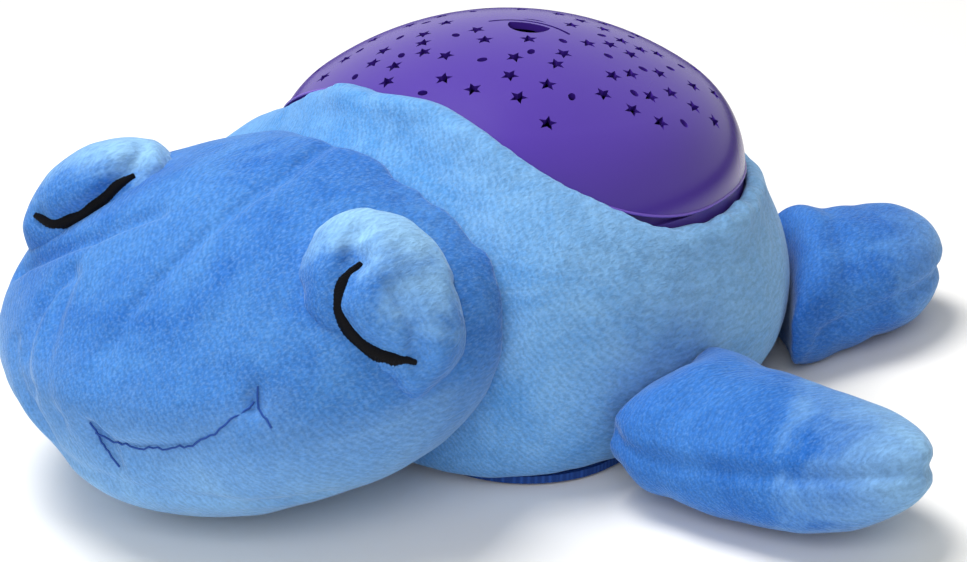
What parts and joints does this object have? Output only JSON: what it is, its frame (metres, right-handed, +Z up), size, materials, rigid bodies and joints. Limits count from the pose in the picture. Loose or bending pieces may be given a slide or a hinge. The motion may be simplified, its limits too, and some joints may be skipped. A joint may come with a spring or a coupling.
{
  "type": "plush turtle night light",
  "caption": "Sleeping plush turtle with a hard pierced star dome for a shell, housing coloured lamps, cells and push buttons that throw stars on the ceiling.",
  "frame": {"origin": "on the rest face under the middle of the dome", "axes": "+Z up, the turtle faces -Y, its left side is +X"},
  "size_m": [0.3814, 0.3353, 0.12],
  "materials": {
    "plush_blue": "short-pile velour plush, brushed",
    "fibre_fill": "polyester fibre fill",
    "belly_fabric": "flat woven panel, darker than the plush",
    "black_thread": "satin-stitched thread",
    "dome_plastic": "moulded gloss purple",
    "base_plastic": "moulded matt purple",
    "screw_steel": "zinc plated",
    "cell_jacket": "printed sleeve, plain grey",
    "contact_steel": "nickel plated sheet",
    "board_laminate": "green solder mask",
    "chip_black": "moulded epoxy",
    "capacitor_can": "drawn can",
    "white_plastic": "moulded white",
    "lamp_amber_lens": "tinted clear resin",
    "lamp_green_lens": "tinted clear resin",
    "lamp_blue_lens": "tinted clear resin",
    "power_button_plastic": "moulded pale grey",
    "amber_button_plastic": "moulded amber",
    "green_button_plastic": "moulded green",
    "blue_button_plastic": "moulded blue",
    "red_insulation": "wire insulation",
    "black_insulation": "wire insulation",
    "grey_insulation": "wire insulation"
  },
  "bodies": {
    "turtle": {"body_cover": "plush_blue", "head_cover": "plush_blue", "eye_mound_left": "plush_blue", "eye_mound_right": "plush_blue", "body_stuffing": "fibre_fill", "head_stuffing": "fibre_fill", "belly_panel": "belly_fabric", "eye_stitch_left": "black_thread", "eye_stitch_right": "black_thread", "star_dome": "dome_plastic", "base_bowl": "base_plastic", "dome_screws": "screw_steel", "board_screws": "screw_steel", "button_board_screws": "screw_steel", "battery_cells": "cell_jacket", "battery_contacts": "contact_steel", "main_board": "board_laminate", "button_board": "board_laminate", "timer_chip": "chip_black", "button_switches": "chip_black", "board_capacitor": "capacitor_can", "lamp_post": "white_plastic", "lamp_amber": "lamp_amber_lens", "lamp_green": "lamp_green_lens", "lamp_blue": "lamp_blue_lens", "battery_lead_red": "red_insulation", "battery_lead_black": "black_insulation", "button_lead": "grey_insulation"},
    "battery_door": {"battery_door": "base_plastic", "battery_door_screw": "screw_steel"},
    "power_button": {"power_button": "power_button_plastic"},
    "amber_button": {"amber_button": "amber_button_plastic"},
    "green_button": {"green_button": "green_button_plastic"},
    "blue_button": {"blue_button": "blue_button_plastic"},
    "front_flipper_left": {"front_flipper_left": "plush_blue", "front_flipper_stuffing_left": "fibre_fill"},
    "front_flipper_right": {"front_flipper_right": "plush_blue", "front_flipper_stuffing_right": "fibre_fill"},
    "rear_flipper_left": {"rear_flipper_left": "plush_blue", "rear_flipper_stuffing_left": "fibre_fill"},
    "rear_flipper_right": {"rear_flipper_right": "plush_blue", "rear_flipper_stuffing_right": "fibre_fill"}
  },
  "joints": [
    {"name": "battery_door_hinge", "type": "hinge", "parent": "turtle", "child": "battery_door", "pos_m": [0, -0.02235, 0], "axis": [-1, 0, 0], "range_deg": [0, 60]},
    {"name": "power_button_press", "type": "slide", "parent": "turtle", "child": "power_button", "axis": [0, -0.9063, -0.4226], "range_m": [0, 0.001], "stiffness_N_per_m": 300},
    {"name": "amber_button_press", "type": "slide", "parent": "turtle", "child": "amber_button", "axis": [0, -0.9063, -0.4226], "range_m": [0, 0.001], "stiffness_N_per_m": 300},
    {"name": "green_button_press", "type": "slide", "parent": "turtle", "child": "green_button", "axis": [0, -0.9063, -0.4226], "range_m": [0, 0.001], "stiffness_N_per_m": 300},
    {"name": "blue_button_press", "type": "slide", "parent": "turtle", "child": "blue_button", "axis": [0, -0.9063, -0.4226], "range_m": [0, 0.001], "stiffness_N_per_m": 300},
    {"name": "front_flipper_left_seam", "type": "hinge", "parent": "turtle", "child": "front_flipper_left", "pos_m": [0.0983, -0.038, 0.0291], "axis": [0, -1, 0], "range_deg": [0, 30], "stiffness_Nm_per_rad": 0.05},
    {"name": "front_flipper_right_seam", "type": "hinge", "parent": "turtle", "child": "front_flipper_right", "pos_m": [-0.0983, -0.038, 0.0291], "axis": [0, 1, 0], "range_deg": [0, 30], "stiffness_Nm_per_rad": 0.05},
    {"name": "rear_flipper_left_seam", "type": "hinge", "parent": "turtle", "child": "rear_flipper_left", "pos_m": [0.0714, 0.0647, 0.0289], "axis": [0.6947, -0.7193, 0], "range_deg": [0, 30], "stiffness_Nm_per_rad": 0.05},
    {"name": "rear_flipper_right_seam", "type": "hinge", "parent": "turtle", "child": "rear_flipper_right", "pos_m": [-0.0714, 0.0647, 0.0289], "axis": [0.6947, 0.7193, 0], "range_deg": [0, 30], "stiffness_Nm_per_rad": 0.05}
  ]
}
